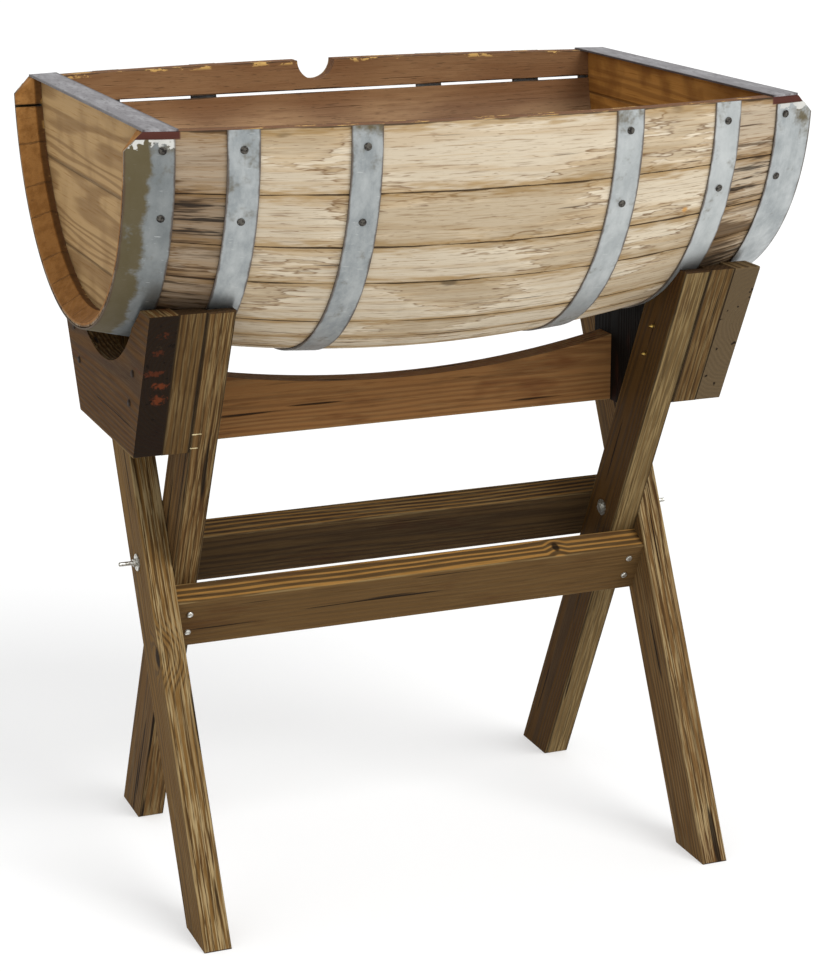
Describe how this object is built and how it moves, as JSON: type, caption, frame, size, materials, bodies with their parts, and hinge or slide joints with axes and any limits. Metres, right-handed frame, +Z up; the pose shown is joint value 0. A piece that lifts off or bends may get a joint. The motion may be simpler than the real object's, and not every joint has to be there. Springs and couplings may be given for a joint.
{
  "type": "half barrel trough",
  "caption": "Half of a wine barrel laid open side up as a trough, with steel hoops and head boards, resting in notched saddles on a crossed-leg timber stand.",
  "frame": {"origin": "on the floor under the middle of the barrel", "axes": "X along the barrel, -Y the front, +Z up"},
  "size_m": [0.94, 0.7079, 1.1055],
  "materials": {
    "barrel_oak": "weathered bare oak",
    "head_oak": "aged sawn oak",
    "stained_pine": "dark stained, weathered",
    "galvanised_steel": "dull galvanised",
    "dark_steel": "tarnished",
    "zinc_plate": "bright zinc",
    "yellow_zinc": "yellow passivated"
  },
  "bodies": {
    "stand": {"front_stretcher": "stained_pine", "left_inner_leg": "stained_pine", "left_outer_leg": "stained_pine", "left_pivot_bolt": "zinc_plate", "left_pivot_nut": "zinc_plate", "left_pivot_washers": "zinc_plate", "left_rail_block": "stained_pine", "left_saddle_board": "stained_pine", "left_spacer_block": "stained_pine", "rail_screws": "zinc_plate", "rear_stretcher": "stained_pine", "right_inner_leg": "stained_pine", "right_outer_leg": "stained_pine", "right_pivot_bolt": "zinc_plate", "right_pivot_nut": "zinc_plate", "right_pivot_washers": "zinc_plate", "right_rail_block": "stained_pine", "right_saddle_board": "stained_pine", "right_spacer_block": "stained_pine", "saddle_screws": "yellow_zinc", "stretcher_screws": "zinc_plate", "top_rail": "stained_pine"},
    "trough": {"hoop_screws": "dark_steel", "left_bilge_hoop": "galvanised_steel", "left_cap_strip": "galvanised_steel", "left_chime_hoop": "galvanised_steel", "left_head_board_1": "head_oak", "left_head_board_2": "head_oak", "left_head_board_3": "head_oak", "left_quarter_hoop": "galvanised_steel", "right_bilge_hoop": "galvanised_steel", "right_cap_strip": "galvanised_steel", "right_chime_hoop": "galvanised_steel", "right_head_board_1": "head_oak", "right_head_board_2": "head_oak", "right_head_board_3": "head_oak", "right_quarter_hoop": "galvanised_steel", "stave_01": "barrel_oak", "stave_02": "barrel_oak", "stave_03": "barrel_oak", "stave_04": "barrel_oak", "stave_05": "barrel_oak", "stave_06": "barrel_oak", "stave_07": "barrel_oak", "stave_08": "barrel_oak", "stave_09": "barrel_oak", "stave_10": "barrel_oak", "stave_11": "barrel_oak", "stave_12": "barrel_oak", "stave_13": "barrel_oak", "stave_14": "barrel_oak", "stave_15": "barrel_oak", "stave_16": "barrel_oak"}
  },
  "joints": [
    {"name": "trough_lift", "type": "slide", "parent": "stand", "child": "trough", "axis": [0, 0, 1], "range_m": [0, 0.35]}
  ]
}
